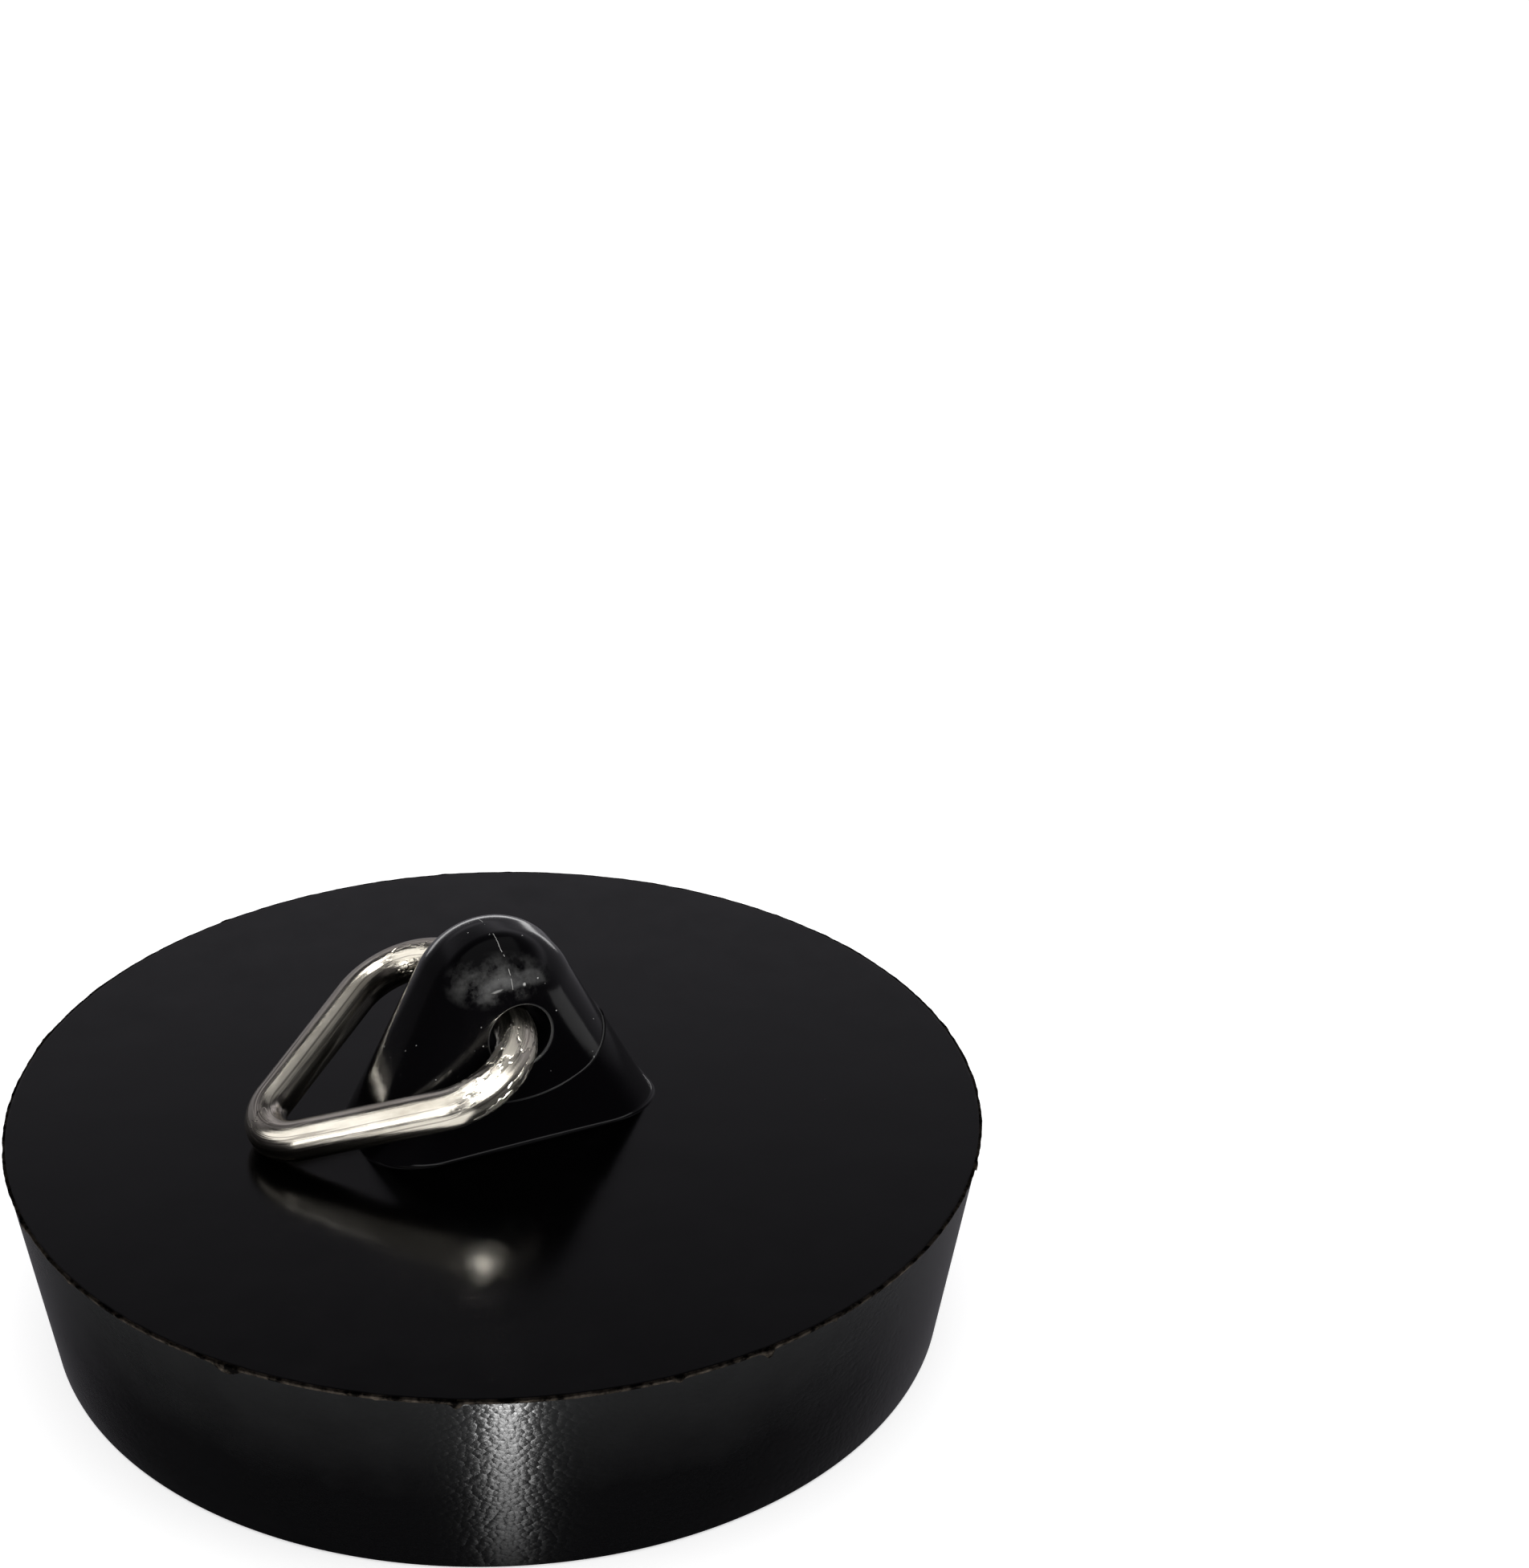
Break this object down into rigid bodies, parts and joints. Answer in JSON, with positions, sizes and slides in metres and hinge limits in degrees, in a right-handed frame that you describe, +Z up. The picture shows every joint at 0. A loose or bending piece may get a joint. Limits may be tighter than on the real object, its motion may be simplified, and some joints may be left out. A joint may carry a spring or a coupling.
{
  "type": "drain stopper",
  "caption": "Black rubber drain stopper: a tapered cup plug with a glossy disc and a moulded lug that carries a free-swinging triangular wire pull ring.",
  "frame": {"origin": "middle of the mouth rim's plane, which the plug stands on", "axes": "+Z up out of the drain, +X along the lug's broad side, +Y along the hole through the lug; the ring's apex lies towards -X at rest"},
  "size_m": [0.048, 0.048, 0.021],
  "materials": {
    "rubber": "glossy moulded disc and lug, satin side wall",
    "ring_wire": "bright drawn stainless wire with bending marks"
  },
  "bodies": {
    "plug": {"stopper_body": "rubber"},
    "ring": {"pull_ring": "ring_wire"}
  },
  "joints": [
    {"name": "ring_swing", "type": "hinge", "parent": "plug", "child": "ring", "pos_m": [0, 0, 0.0166], "axis": [0, 1, 0], "range_deg": [0, 224]}
  ]
}
